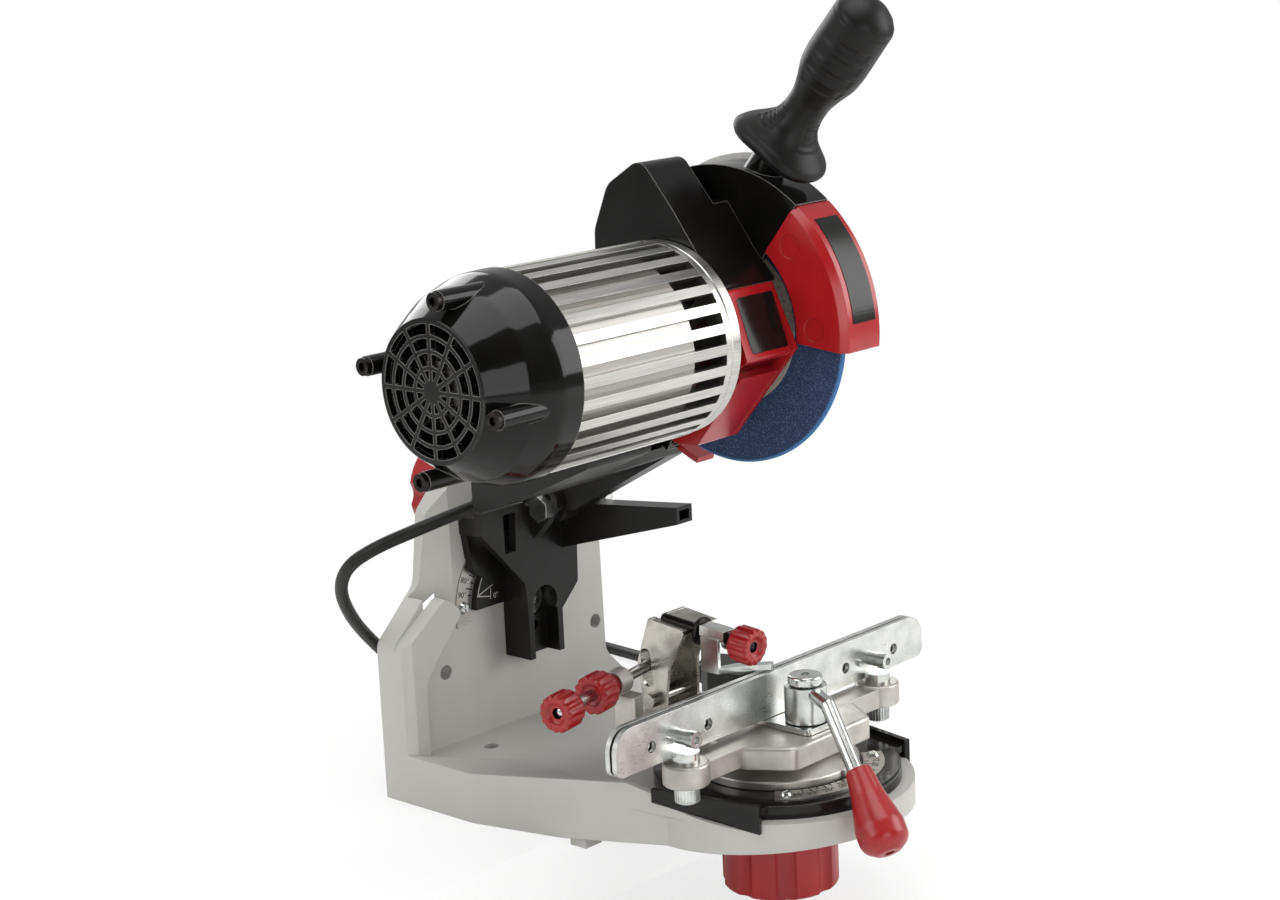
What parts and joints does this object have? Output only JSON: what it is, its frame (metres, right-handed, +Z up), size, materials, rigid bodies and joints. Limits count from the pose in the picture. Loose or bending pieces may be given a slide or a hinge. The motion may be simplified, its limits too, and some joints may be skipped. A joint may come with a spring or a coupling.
{
  "type": "electric chainsaw sharpener",
  "caption": "Bench-mounted electric grinder that sharpens saw chains: tilting spring-back grinding head over a swivelling chain vise with clamp lever.",
  "frame": {"origin": "midway between the two bench-bolt holes, on the bench plane", "axes": "+X to the operator's right, +Y away from the operator, +Z up"},
  "size_m": [0.3852, 0.4309, 0.4622],
  "materials": {
    "grey_paint": "painted",
    "black_paint": "painted",
    "black_steel": "satin",
    "light_paint": "satin",
    "bare_aluminium": "satin",
    "cast_aluminium": "sand cast",
    "scale_aluminium": "brushed",
    "zinc_steel": "zinc plated",
    "motor_steel": "machined",
    "red_plastic": "gloss",
    "black_plastic": "gloss",
    "grip_plastic": "satin",
    "abrasive": "gritty",
    "label_card": "card",
    "clear_lens": "clear",
    "bulb_glass": "frosted",
    "cord_rubber": "matte"
  },
  "bodies": {
    "base": {"base_casting": "grey_paint", "tilt_scale_plate": "scale_aluminium", "vise_scale": "scale_aluminium", "scale_screws": "zinc_steel", "vise_plate": "black_steel", "cord_drop": "cord_rubber", "cord_coil": "cord_rubber", "cord_tail": "cord_rubber", "cord_plug": "cord_rubber"},
    "tilt_head": {"tilt_bracket": "black_steel", "tilt_pivot_bolt": "zinc_steel", "tilt_lock_bolt": "zinc_steel", "hinge_bolt": "zinc_steel", "return_spring": "zinc_steel", "cord_head": "cord_rubber"},
    "tilt_knob": {"tilt_lock_knob": "red_plastic"},
    "head": {"head_arm": "black_paint", "head_screws": "zinc_steel", "motor_housing": "bare_aluminium", "motor_end_cap": "black_plastic", "cap_bolts": "zinc_steel", "front_bell": "bare_aluminium", "motor_bearings": "motor_steel", "stator": "motor_steel", "guard_body": "black_paint", "guard_front_cover": "red_plastic", "guard_side_plate": "light_paint", "spark_tip": "red_plastic", "switch_block": "black_plastic", "lamp_housing": "red_plastic", "lamp_lens": "clear_lens", "lamp_bulb": "bulb_glass", "handle_grip": "grip_plastic", "cord_gland": "cord_rubber"},
    "spindle": {"rotor_shaft": "motor_steel", "cooling_fan": "grip_plastic", "grinding_wheel": "abrasive", "wheel_labels": "label_card", "wheel_flanges": "zinc_steel", "wheel_nut": "zinc_steel"},
    "rocker": {"switch_rocker": "black_plastic"},
    "depth_screw": {"depth_stop_screw": "zinc_steel"},
    "vise": {"vise_body": "cast_aluminium", "vise_pivot_bolt": "zinc_steel", "front_jaw": "zinc_steel", "jaw_guide_screws": "zinc_steel", "jaw_posts": "zinc_steel", "clamp_pin": "zinc_steel", "stop_bracket": "cast_aluminium"},
    "vise_knob": {"vise_lock_knob": "red_plastic"},
    "nut_left": {"knurled_nut_left": "zinc_steel"},
    "nut_right": {"knurled_nut_right": "zinc_steel"},
    "clamp_jaw": {"rear_jaw": "zinc_steel", "clamp_slide": "zinc_steel"},
    "clamp_lever": {"clamp_hub": "zinc_steel", "lever_grip": "red_plastic"},
    "stop_rod": {"stop_cross_rod": "zinc_steel"},
    "stop_nut": {"stop_lock_knob": "red_plastic"},
    "stop_screw": {"stop_adjust_screw": "zinc_steel"},
    "pawl": {"stop_pawl": "zinc_steel"}
  },
  "joints": [
    {"name": "head_tilt", "type": "hinge", "parent": "base", "child": "tilt_head", "pos_m": [0, 0, 0.094], "axis": [0, 1, 0], "range_deg": [0, 30], "deforming": ["cord_drop"]},
    {"name": "tilt_knob_turn", "type": "hinge", "parent": "tilt_head", "child": "tilt_knob", "pos_m": [-0.00863, 0, 0.1554], "axis": [0, 1, 0], "continuous": true},
    {"name": "head_stroke", "type": "hinge", "parent": "tilt_head", "child": "head", "pos_m": [0, -0.01, 0.151], "axis": [1, 0, 0], "range_deg": [0, 36], "stiffness_Nm_per_rad": 6, "springref_deg": -91.67, "deforming": ["cord_head"]},
    {"name": "spindle_spin", "type": "hinge", "parent": "head", "child": "spindle", "pos_m": [0, -0.146, 0.265], "axis": [1, 0, 0], "continuous": true},
    {"name": "switch_rock", "type": "hinge", "parent": "head", "child": "rocker", "pos_m": [-0.031, -0.1, 0.292], "axis": [1, 0, 0], "range_deg": [0, 14]},
    {"name": "depth_screw_turn", "type": "hinge", "parent": "head", "child": "depth_screw", "pos_m": [0.0217, -0.066, 0.2], "axis": [0, -0.6591, -0.7521], "continuous": true},
    {"name": "vise_swivel", "type": "hinge", "parent": "base", "child": "vise", "pos_m": [0, -0.1655, 0], "axis": [0, 0, 1], "range_deg": [-35, 35]},
    {"name": "vise_knob_turn", "type": "hinge", "parent": "vise", "child": "vise_knob", "pos_m": [0, -0.1655, 0], "axis": [0, 0, 1], "continuous": true},
    {"name": "left_nut_turn", "type": "hinge", "parent": "vise", "child": "nut_left", "pos_m": [-0.0783, -0.172, 0], "axis": [0, 0, 1], "continuous": true},
    {"name": "right_nut_turn", "type": "hinge", "parent": "vise", "child": "nut_right", "pos_m": [0.0783, -0.172, 0], "axis": [0, 0, 1], "continuous": true},
    {"name": "clamp_lever_turn", "type": "hinge", "parent": "vise", "child": "clamp_lever", "pos_m": [0, -0.186, 0], "axis": [0, 0, 1], "range_deg": [0, 42]},
    {"name": "rear_jaw_slide", "type": "slide", "parent": "vise", "child": "clamp_jaw", "axis": [0, 1, 0], "range_m": [0, 0.0031]},
    {"name": "stop_rod_turn", "type": "hinge", "parent": "vise", "child": "stop_rod", "pos_m": [-0.1069, -0.115, 0.0806], "axis": [0.9856, 0.1686, 0.0112], "continuous": true},
    {"name": "stop_nut_turn", "type": "hinge", "parent": "vise", "child": "stop_nut", "pos_m": [-0.1069, -0.115, 0.0806], "axis": [0.9856, 0.1686, 0.0112], "continuous": true},
    {"name": "stop_screw_turn", "type": "hinge", "parent": "vise", "child": "stop_screw", "pos_m": [-0.02, -0.112, 0.1065], "axis": [0, -0.9962, -0.0869], "range_deg": [-360, 360]},
    {"name": "pawl_slide", "type": "slide", "parent": "vise", "child": "pawl", "axis": [0, -0.9962, -0.0869], "range_m": [-0.0021, 0.0021]}
  ],
  "couplings": [
    {"joint": "rear_jaw_slide", "follows": "clamp_lever_turn", "m_per_rad": 0.0040926},
    {"joint": "pawl_slide", "follows": "stop_screw_turn", "m_per_rad": 0.00031831}
  ]
}
